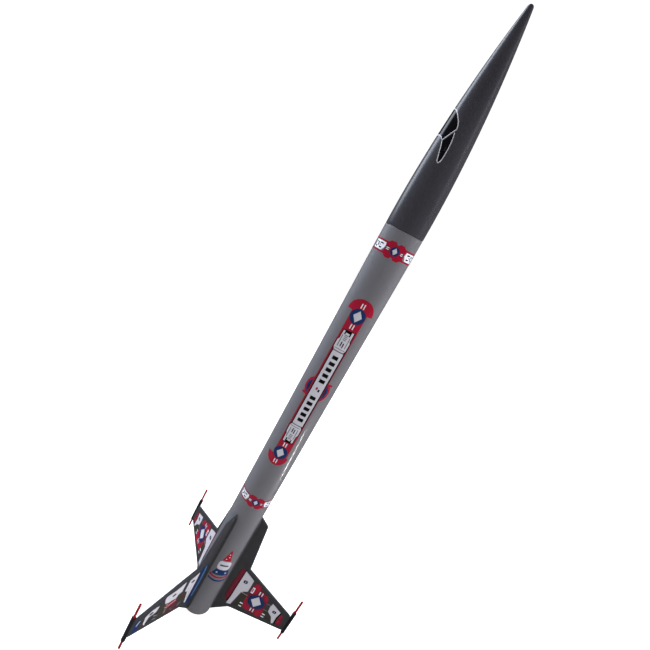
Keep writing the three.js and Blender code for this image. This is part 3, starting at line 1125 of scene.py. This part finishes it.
canopy = {"length": 650, "inner": 1.5, "outer": 12.3, "thick": 0.16, "steps": 900}
rollLow, rollHigh = heightsOf("parachute_roll")
turns = canopy["length"] / (math.pi * (canopy["inner"] + canopy["outer"]))
sections = []
for k in range(canopy["steps"] + 1):
    t = k / canopy["steps"]
    turn = 2 * math.pi * turns * t
    radius = canopy["inner"] + (canopy["outer"] - canopy["inner"]) * t
    radius -= 0.1 * (1 + noise.noise((math.cos(turn) * 2, math.sin(turn) * 2, t * 4)))
    across = Vector((math.cos(turn), math.sin(turn), 0))
    droop = 0.8 * noise.noise((turn * 0.5, 5, 1))
    ends = [rollLow + 1 + abs(droop), rollHigh - 1 - abs(droop)]
    skinOut, skinIn = radius + canopy["thick"] / 2, radius - canopy["thick"] / 2
    section = [across * skinOut, across * skinIn, across * skinIn, across * skinOut]
    heights = [ends[0], ends[0], ends[1], ends[1]]
    sections.append([(p.x, p.y, z) for p, z in zip(section, heights)])
rolled = lofted(sections)
chute = makePiece("parachute_rolled", [rolled], [nylon()], ["parachute_roll"])
print("recovery packing made")


# ---------- printed films
film = {"top": 0.06, "under": -0.03, "grid": 1.1}
degree = tubeRadius * math.radians(1)  # mm round the tube for one degree


def onSkin(u, v, height):
    # u is the way round the tube in mm from the first fin, v the height
    turn = u / tubeRadius
    radius = skinRadius(v) + height
    return (radius * math.cos(turn), radius * math.sin(turn), v)


def roundTube(*points):
    return [(azimuth * degree, z) for azimuth, z in points]


def layFilm(name, layers, place=onSkin, grid=film["grid"], body="airframe"):
    used = {ink: inks[ink] for ink, outline in layers if ink}
    solid = printed(layers, place, film["under"], film["top"], grid)
    return makePiece(name, [solid], used, body=body)


def roundel(u, v, radius):
    # a blue disc with a plain pale lozenge
    return [
        ("blue", arc(u, v, radius, steps=36)),
        ("grey", lozenge(u, v, radius * 1.14, radius * 1.54)),
    ]


def twinTicks(u, v, long, wide, gap, upright=True):
    ticks = []
    for side in (-1, 1):
        offset = side * (gap + wide) / 2
        if upright:
            ticks.append(("white", bar(u + offset, v, wide, long)))
        else:
            ticks.append(("white", bar(u, v + offset, long, wide)))
    return ticks


# the two bands round the tube: each has red rules, two badges and four pale panels
badge = [(-10, 4.9), (-8.2, 4.9), (-6.2, 6.9), (-1.6, 6.9), (-0.8, 5.3), (0.8, 5.3), (1.6, 6.9)]
badge += [(5.2, 6.9), (7.4, 4.9), (9.6, 4.9), (8.2, 0), (9.6, -4.9), (7.4, -4.9), (5.2, -6.9)]
badge += [(1.2, -6.9), (0.4, -5.3), (-1.2, -5.3), (-2, -6.9), (-6.2, -6.9), (-8.2, -4.9)]
badge += [(-10, -4.9), (-8.6, 0)]


def bandLayers(middle, z):
    turnLength = 2 * math.pi * tubeRadius
    start = middle - turnLength / 4
    layers = []
    for side in (1, -1):
        layers.append(("red", bar(start + turnLength / 2, z + side * 4.5, turnLength - 0.3, 1)))
        layers.append(("maroon", bar(start + turnLength / 2, z + side * 3.9, turnLength - 0.3, 0.4)))
    for u in (middle, middle + turnLength / 2):
        for side in (-1, 1):
            pane = [(9.6, 3.5), (20.6, 3.5), (19.6, 0), (20.6, -3.5), (11.2, -3.5), (9, 0.4)]
            layers.append(("white", shifted(pane, u, z, side)))
            marks = [(13.2, 1.8, 3.4, 1.1), (16.6, 0.5, 1.3, 3), (13.4, -1.7, 3, 1.1)]
            marks += [(18.6, 1.8, 1.6, 1.2), (18.2, -1.7, 1.8, 1.4)]
            for du, dv, wide, high in marks:
                layers.append(("black", shifted(bar(du, dv, wide, high), u, z, side)))
            layers.append(("midGrey", shifted(bar(14.6, 0.1, 1.6, 0.8), u, z, side)))
        layers += [
            ("red", shifted(roundCorners(badge, 0.9), u, z)),
            ("maroon", bar(u - 6.6, z, 3.8, 3.8)),
            ("darkRed", bar(u + 6.2, z, 3, 3)),
        ]
        layers += roundel(u, z, 3.8)
        layers += twinTicks(u - 6.4, z, 2.6, 0.7, 0.6, False)
        layers += twinTicks(u + 6.1, z, 1.9, 0.6, 0.6, False)
    return layers


layFilm("film_band_upper", bandLayers(-91 * degree, 440.8))
layFilm("film_band_lower", bandLayers(-84 * degree, 169.6))

# the long panel up the front
panel = {"across": -92.3 * degree, "low": 229, "middle": 306.5, "high": 384.5, "width": 14.2}


def longPanel():
    u, mid = panel["across"], panel["middle"]
    layers = [
        ("red", arc(u, mid, 12.2, steps=48)),
        ("blue", arc(u, mid, 10.4, steps=48)),
        ("darkBlue", arc(u, mid, 8.4, steps=48)),
        ("darkRed", bar(u + 0.3, mid, 3.4, 20)),
    ]
    for side in (-1, 1):
        layers.append(("red", bar(u + side * 9.6, mid + side * 8.2, 4.2, 2.2)))
    span = panel["high"] - panel["low"]
    layers += [
        ("red", bar(u, panel["low"] + span / 2, panel["width"], span)),
        ("red", arc(u, panel["high"], 12.1, 0, 180, 28)),
        ("red", arc(u - 1.6, panel["low"], 10.8, 180, 360, 28)),
    ]
    layers += roundel(u, 381.2, 6.9) + roundel(u - 0.7, 232.7, 6.9)
    for du, z in ((0, 390.9), (0, 371.4), (-0.3, 242.4), (-1.2, 222.6)):
        layers += twinTicks(u + du, z, 4.4, 0.9, 1.5)
    # the pale panel: a straight middle and wider ends with prongs, over a dark edge
    ends, edges = [], []
    for side in (1, -1):
        wide = [(-5, 41.5), (-5.8, 43), (-5.8, 50), (-4.7, 51.6), (-4.7, 59.6), (-3, 59.6)]
        wide += [(-3, 56.4), (-1.9, 56.4), (-1.9, 58.4), (1.7, 58.4), (1.7, 56), (2.9, 56)]
        wide += [(2.9, 60.4), (4.8, 60.4), (4.8, 52), (5.7, 50.4), (5.7, 43), (5, 41.5)]
        wide += [(4.2, 39.6), (-4.2, 39.6)]
        dark = [(-6, 40), (-6.6, 42.6), (-6.6, 50.6), (-5.5, 52.2), (-5.5, 60.4), (5.7, 61.2)]
        dark += [(5.7, 52.6), (6.6, 51), (6.6, 42.6), (6, 40)]
        ends.append(shifted(wide, u, mid, side, side))
        edges.append(shifted(dark, u, mid, side, side))
    layers.append(("maroon", bar(u + 0.4, mid, 12.8, 80)))
    layers.append(("black", bar(u + 0.5, mid, 11.8, 80)))
    layers += [("black", edge) for edge in edges]
    layers += [("grey", end) for end in ends]
    layers.append(("grey", bar(u + 0.4, mid, 10, 79.6)))
    for side in (1, -1):
        for du, dv in ((-1, 47.4), (1, 46.6)):
            slot = roundCorners(bar(u + side * du, mid + side * dv, 1, 4.8), 0.45)
            layers.append(("black", slot))
        layers.append(("slate", bar(u, mid + side * 42.6, 9.4, 0.5)))
        layers.append(("slate", bar(u, mid + side * 40.2, 9.4, 0.9)))
        for k in range(4):
            layers.append(("slate", bar(u - side * 0.1, mid + side * (51.6 + 1.5 * k), 3, 0.6)))
        layers.append(("slate", bar(u - side * 3.5, mid + side * 50, 0.6, 11)))
        layers.append(("slate", bar(u + side * 3.6, mid + side * 50, 0.6, 11)))
        for k in range(5):
            layers.append(("black", bar(u + 0.6, mid + side * (9 + 6.2 * k), 5.3, 3.5)))
    layers.append(("red", bar(u - 0.4, mid + 1, 1.8, 2.6)))
    layers.append(("darkBlue", bar(u + 2, mid - 0.4, 1.8, 2.6)))
    return layers


layFilm("film_long_panel", longPanel())


# the badge between the fins: a cone, a pale block and a blue step over two curved rules
def tailBadge():
    layers = [
        ("red", roundTube((-72, 102), (-67, 102), (-55, 87), (-86, 87))),
        ("white", bar(-69.5 * degree, 96.4, 1.1, 1.1)),
        ("white", bar(-67 * degree, 92.6, 1.1, 1.1)),
        ("white", bar(-75 * degree, 89.6, 1.1, 1.1)),
        ("blue", roundTube((-91, 73), (-42, 73), (-33, 65), (-101, 65))),
        ("grey", roundCorners(roundTube((-93, 73.2), (-45, 73.2), (-45, 85.6), (-93, 85.6)), 4)),
        ("slate", roundCorners(bar(-69 * degree, 79.6, 9.6, 2.2), 0.6)),
        ("grey", bar(-84 * degree, 68.6, 1.8, 1.8)),
        ("grey", bar(-50 * degree, 68.6, 1.8, 1.8)),
    ]
    for colour, z, low, high in (("red", 61.3, -107, -30), ("blue", 56.3, -105, -23)):
        path = []
        for k in range(17):
            t = -1 + k / 8
            path.append(((low + (high - low) * k / 16) * degree, z + 2.2 * t * t))
        layers.append((colour, stroke(path, 2.1)))
    return layers


layFilm("film_tail_badge", tailBadge())


# canopy panes on the nose, the same on both sides of its middle line
canopyRim = 0.75


def canopyLayers():
    front = [(-180, 550), (-161, 549.6), (-147, 548.2), (-134.6, 545.9), (-124, 543.3)]
    front += [(-116.8, 541.2), (-111.4, 538.6), (-108.9, 536.2)]
    corner = [(-133.6, 526.2)]
    under = [(-141.4, 528), (-155, 529.5), (-180, 529.8)]
    side = [(-109.2, 533.6), (-104.6, 529.5), (-101.9, 523), (-102, 516.5), (-103.6, 512.4)]
    side += [(-108.6, 510.8), (-113.5, 512), (-118.5, 516.3), (-124.8, 521.4), (-131, 525.2)]
    rims = [front, [front[-1]] + corner + under, side + corner + [front[-1], side[0]]]

    def fold(points, flip):
        return [((-180 + flip * (azimuth + 180)) * degree, z) for azimuth, z in points]

    panes, lines = [], []
    for flip in (1, -1):
        panes += [("black", fold(pane, flip)) for pane in (front + corner + under, side)]
        lines += [("grey", stroke(fold(rim, flip), canopyRim)) for rim in rims]
    return panes + lines


layFilm("film_canopy", canopyLayers(), body="nose")


# fin films: (radius, height) on a fin's face
def finFace(turn, side):
    spin = Matrix.Rotation(math.radians(turn), 3, "Z")

    def place(u, v, height):
        return tuple(spin @ Vector((u, side * (finThick / 2 + height), v)))

    return place


def frameMark(u, v, wide, high):
    # a dark block with a pale middle
    return [
        ("darkBlue", roundCorners(bar(u, v, wide, high), 1.3)),
        ("grey", lozenge(u, v, wide * 0.34, high * 0.4)),
    ]


def redScheme():
    inner = [(31.6, 72.6), (44.2, 65.4), (44.4, 48.2), (38, 42.6), (34.4, 20), (29.7, 18.8)]
    inner.append((30.6, 29.5))
    outer = [(75.6, 49.4), (88.1, 42.7), (86.5, 34), (86.8, 24.1), (84.9, 23.2), (81.5, 31.2)]
    outer += [(75.3, 36.3), (74.5, 44.4)]
    ground = [(46.2, 44), (47, 60), (50, 64.4), (55, 62), (59, 57.8), (66.4, 55), (69.2, 49)]
    ground += [(69.6, 35), (70.4, 27), (68.4, 21.6), (58, 22.4), (50, 23.8), (46.6, 27), (45.8, 36)]
    upLeft = [(46.6, 48), (47, 57.7), (47.9, 62.4), (49.9, 64.7), (54.8, 62.3), (55.8, 58.9)]
    upLeft += [(55.2, 54.5), (53, 50.4), (49.7, 47.6)]
    upRight = [(62.6, 54.8), (66.5, 55.2), (69, 50), (68.9, 44.8), (66.4, 46.8), (62.8, 51)]
    downRight = [(61.8, 28.8), (66.6, 32.2), (69.4, 35.4), (70.7, 31), (70.4, 26.6), (68.7, 21.9)]
    downRight.append((62.4, 22.8))
    downLeft = [(48.4, 38.6), (46.2, 41.8), (45.7, 35.4), (47, 26.4), (50, 24.2), (55.4, 24)]
    downLeft += [(55.5, 29.6), (51, 32.6)]
    layers = [
        ("maroon", [(25.6, 73), (27.4, 74), (26.6, 50), (25.6, 25), (23, 31), (23.6, 53)]),
        ("darkRed", [(26.6, 74), (30.8, 74), (29.6, 31), (27.8, 22.5), (25.4, 26), (26, 50)]),
        ("black", stroke([(31.2, 73.8), (30.2, 31), (28.8, 22.2)], 1.4)),
        ("umber", [(38.6, 41.6), (46, 41.8), (46.6, 33.6), (47, 22.4), (36, 20.6)]),
        ("umber", [(71.2, 34.8), (75, 35.4), (80.9, 30.9), (84.3, 23.6), (76, 23.4), (75.4, 31)]),
        ("grey", inner),
        ("slate", stroke([(38.6, 41.6), (35, 20.6)], 0.9)),
        ("grey", outer),
        ("pink", stroke([(38.6, 43.2), (47, 42.5)], 0.6)),
        ("slate", stroke([(39.6, 45), (43, 46), (46.2, 48.7)], 0.6)),
        ("midGrey", stroke([(68.4, 45.2), (75.2, 45.7)], 0.7)),
        ("midGrey", stroke([(68.4, 35.8), (74.8, 35.9)], 0.7)),
        ("slate", stroke([(74.6, 36.2), (80.6, 31.6), (84.2, 24)], 0.7)),
        ("darkRed", roundCorners(ground, 1)),
    ]
    for lobe in (upLeft, upRight, downRight, downLeft):
        layers.append(("red", roundCorners(lobe, 0.8)))
    layers += [
        ("maroon", stroke([(48, 38.6), (49.4, 32), (52.6, 28.4)], 0.7)),
        ("maroon", stroke([(68.6, 44), (66.6, 48.6), (63.4, 52.4)], 0.7)),
        ("blue", roundCorners(arc(58.2, 40.2, 10.3, 22.5, 382.5, 8), 1.6)),
        ("darkBlue", stroke([(50.6, 46), (49.6, 40), (51.4, 33.8)], 1.2)),
        ("grey", lozenge(58.2, 40.2, 12.4, 16.4)),
    ]
    layers += twinTicks(58.6, 53.4, 5.2, 1.1, 2.1)
    layers += twinTicks(58.7, 27, 5, 1.1, 2.1)
    layers += twinTicks(44.7, 26.7, 3.6, 1.5, 3.2, False)
    layers += twinTicks(72.6, 27.4, 3.4, 1.4, 2.6, False)
    layers.append(("white", bar(48.7, 53, 2.8, 8.8)))
    layers.append(("red", bar(48.4, 53, 1.3, 5.6)))
    layers += frameMark(36.9, 58.6, 4.6, 4.4) + frameMark(81.6, 39.3, 4.4, 3.8)
    layers += [
        ("black", stroke([(89, 42.8), (87.6, 33.8), (88.2, 24.6)], 1.4)),
        ("darkRed", [(90, 42), (93.2, 38), (95.6, 26), (90.4, 24.4), (88.8, 27), (88.9, 34)]),
        ("red", [(90, 41.6), (92.4, 38.6), (90.8, 34), (89, 34.6)]),
        ("red", [(90, 33), (92.6, 31.4), (91.6, 26.4), (89.2, 27.4)]),
        ("black", lozenge(90.4, 33.6, 1.4, 2)),
    ]
    return layers


def blueScheme():
    root = [(29.3, 74.6), (29.2, 69), (28.2, 60), (27.6, 50), (27.5, 34), (26.6, 18.5)]
    root += [(24.6, 13), (19.9, 13), (19.9, 74.6)]
    first = [(29.4, 68.2), (40.1, 62.1), (39.4, 45), (37.4, 42.8), (35.4, 43), (30.4, 21)]
    first += [(28, 19), (28.4, 34), (28.7, 50)]
    second = [(45.4, 63.7), (45.1, 54.4), (44.9, 48.2), (48.4, 47.3), (50.2, 41.4), (55.2, 42.4)]
    second += [(59.2, 41.6), (64.6, 44), (67.3, 52), (66.6, 56), (61.5, 56.8), (55.8, 58)]
    third = [(71.5, 46.2), (73, 38.3), (80.9, 36.2), (82.3, 25.3), (84.8, 28.9), (85.8, 40.2)]
    third += [(81.5, 44.9), (75.3, 46.9)]
    under = [(42.6, 45.6), (44.6, 47.6), (48, 46.8), (50, 40.8), (47, 37), (41, 30), (32.6, 24)]
    under.append((36.8, 41))
    layers = [
        ("blue", root),
        # painted shade: this darker blue strip along the root stands for the shade beside the glue line
        ("darkBlue", [(20, 74.4), (21.4, 74.4), (20.8, 13.2), (20, 13.2)]),
        ("darkBlue", stroke([(26.4, 74), (25.4, 50), (24.8, 20)], 1.4)),
        ("paleBlue", stroke([(23.4, 74), (22.4, 66), (21.7, 53), (21.9, 34), (22.2, 26)], 0.8)),
        ("umber", under),
        ("umber", [(64.9, 43), (62.5, 33.1), (62.1, 23), (68.5, 27), (71, 42), (69.2, 44.6)]),
        ("maroon", [(57, 34), (46, 33.6), (38, 20.2), (58, 22)]),
        ("darkRed", [(61.6, 41), (53.3, 41.2), (46.4, 38.4), (45.6, 33.6), (54.3, 31.5), (60.4, 35)]),
        ("slate", stroke([(42, 64.2), (42.6, 54), (42.2, 46.4)], 1)),
        ("grey", first),
        ("grey", second),
        ("grey", third),
        ("pink", stroke([(57.6, 35.6), (48.6, 38.6)], 1.8)),
        ("pink", stroke([(61.6, 39.6), (58.6, 38.6)], 1.2)),
        ("maroon", bar(40.4, 39.6, 3.8, 5)),
        ("darkRed", bar(40.2, 40, 1.8, 2.6)),
        ("black", stroke([(29.3, 69), (28.4, 52), (28.2, 34), (27.4, 19)], 0.7)),
        ("umber", stroke([(46.4, 66), (62, 58.6), (67.6, 57), (70.6, 47)], 0.9)),
        ("slate", stroke([(30, 72.6), (42.4, 66), (46, 64.6)], 0.9)),
        ("pink", stroke([(62.4, 36.6), (57.8, 34.4)], 0.9)),
        ("midGrey", stroke([(58.6, 30.8), (59.2, 25.6)], 1.8)),
        ("midGrey", stroke([(61.4, 33), (57, 32.6)], 1)),
        ("midGrey", stroke([(41.6, 24), (37.8, 27.8)], 1.6)),
        ("midGrey", stroke([(52, 26), (48, 24.4)], 1)),
        ("slate", stroke([(45, 30), (54, 27)], 1.2)),
        ("black", stroke([(69.4, 36), (81.6, 26)], 1.3)),
        ("midGrey", stroke([(74.4, 33.6), (68.2, 29.4)], 1.4)),
        ("midGrey", stroke([(74, 27.8), (69, 25.2)], 1.4)),
        ("umber", [(86.8, 41.4), (89.2, 42), (88.9, 28), (86, 25)]),
        ("blue", [(89.8, 37), (92.6, 42.4), (96.6, 40), (96.6, 24), (90.6, 23), (89.6, 30)]),
        ("grey", stroke([(91, 39.2), (92.4, 37.4), (93.8, 33.4)], 1.2)),
        ("darkRed", stroke([(86.9, 28.6), (87, 25.2)], 1.2)),
    ]
    for r, z in ((34.2, 57.3), (55.6, 50.8), (79.2, 40.6)):
        layers.append(("darkBlue", lozenge(r, z, 6, 5)))
    layers.append(("midGrey", stroke([(32.4, 48), (31, 36), (30.2, 28)], 0.5)))
    layers.append(("midGrey", stroke([(36.6, 49), (35.2, 45.4)], 0.5)))
    return layers


for number, (turn, redSide) in enumerate(zip(finTurns, (-1, 1, -1)), 1):
    layFilm(f"film_fin_{number}_red", redScheme(), finFace(turn, redSide), 0)
    layFilm(f"film_fin_{number}_blue", blueScheme(), finFace(turn, -redSide), 0)
print("films laid")


# ---------- floor, light and camera
def flatSquare(name, width):
    mesh = bpy.data.meshes.new(name)
    mesh.from_pydata([(x, y, 0) for x, y in bar(0, 0, width, width)], [], [(0, 1, 2, 3)])
    made = bpy.data.objects.new(name, mesh)
    scene.collection.objects.link(made)
    return made


floor = flatSquare("floor", 60)  # metres
floor.location = (0, 0, -0.5 * mm)
floor.visible_glossy = False
floorFinish = Finish("floor_pale")
floorGrain = floorFinish.cloud(floorFinish.place(), 40, 4)
floorShade = floorFinish.mix(floorGrain, rgb(238, 238, 238), rgb(244, 244, 244))
floorLook = {"BaseColor": floorShade, "EmissionColor": (1, 1, 1, 1), "EmissionStrength": 0.81}
floor.data.materials.append(floorFinish.shade(Roughness=0.8, **floorLook))

# a white backdrop that lights the object only softly
studio = {"backdrop": 1.05, "ambient": 0.24, "mirrored": 0.1}
scene.world = bpy.data.worlds.new("studio")
sky = Finish("studio", scene.world)
seen = sky.node("LightPath")
mirrored = sky.node("LightPath", out="Is Glossy Ray")
spare = studio["backdrop"] - studio["ambient"]
lost = studio["ambient"] - studio["mirrored"]
sky.shade(Color=(1, 1, 1, 1), Strength=seen * spare + studio["ambient"] - mirrored * lost)

cool = (0.8, 0.88, 1)
plain = (1, 0.99, 0.98)
lamps = {
    # azimuth, elevation and tilt in degrees, distance, width and height in m, watts, tint, use
    "leftPanel": (154, 24, 0, 1.5, 0.85, 1.9, 39, cool, "diffuse"),
    "leftStrip": (149, 34, 0, 1.5, 0.62, 1.45, 15, cool, "glossy"),
    "rightPanel": (10, 12, 0, 1.6, 1.2, 1.8, 38, plain, "diffuse"),
    "rightStrip": (-4, 34, 0, 1.5, 0.1, 1.2, 0.8, plain, "glossy"),
    "lowStrip": (-9, -45.4, 45, 0.42, 0.008, 0.13, 0.2, plain, "glossy"),
}
lampAim = Vector((0, 0, tubeTop * 0.8 * mm))


def spinning(degrees):
    return Quaternion((0, 0, 1), math.radians(degrees))


for name, (azimuth, elevation, tilt, distance, width, height, power, tint, use) in lamps.items():
    light = bpy.data.lights.new(name, "AREA")
    light.shape = "RECTANGLE"
    light.size = width
    light.size_y = height
    light.energy = power
    light.color = tint
    lamp = bpy.data.objects.new(name, light)
    scene.collection.objects.link(lamp)
    a, e = math.radians(azimuth), math.radians(elevation)
    away = Vector((math.cos(e) * math.cos(a), math.cos(e) * math.sin(a), math.sin(e)))
    lamp.location = lampAim + away * distance
    lamp.rotation_mode = "QUATERNION"
    lamp.rotation_quaternion = away.to_track_quat("Z", "Y") @ spinning(tilt)
    lamp.visible_camera = False
    lamp.visible_glossy = use == "glossy"
    lamp.visible_diffuse = use == "diffuse"

view = {
    "eye": (-33.98, -371.76, 448.41),
    "aim": (-36.94, -0.29, 324.25),
    "roll": 27.534,
    "lens": 23.777,
    "shift": (0.0506, 0.0365),
}
lens = bpy.data.cameras.new("camera")
lens.lens = view["lens"]
lens.sensor_width = 36
lens.shift_x, lens.shift_y = view["shift"]
lens.clip_start = 0.01
lens.clip_end = 100
camera = bpy.data.objects.new("camera", lens)
scene.collection.objects.link(camera)
eye, aim = Vector(view["eye"]) * mm, Vector(view["aim"]) * mm
camera.location = eye
camera.rotation_mode = "QUATERNION"
camera.rotation_quaternion = (aim - eye).to_track_quat("-Z", "Y") @ spinning(view["roll"])
scene.camera = camera
scene.view_settings.view_transform = "Standard"
print("stage set")
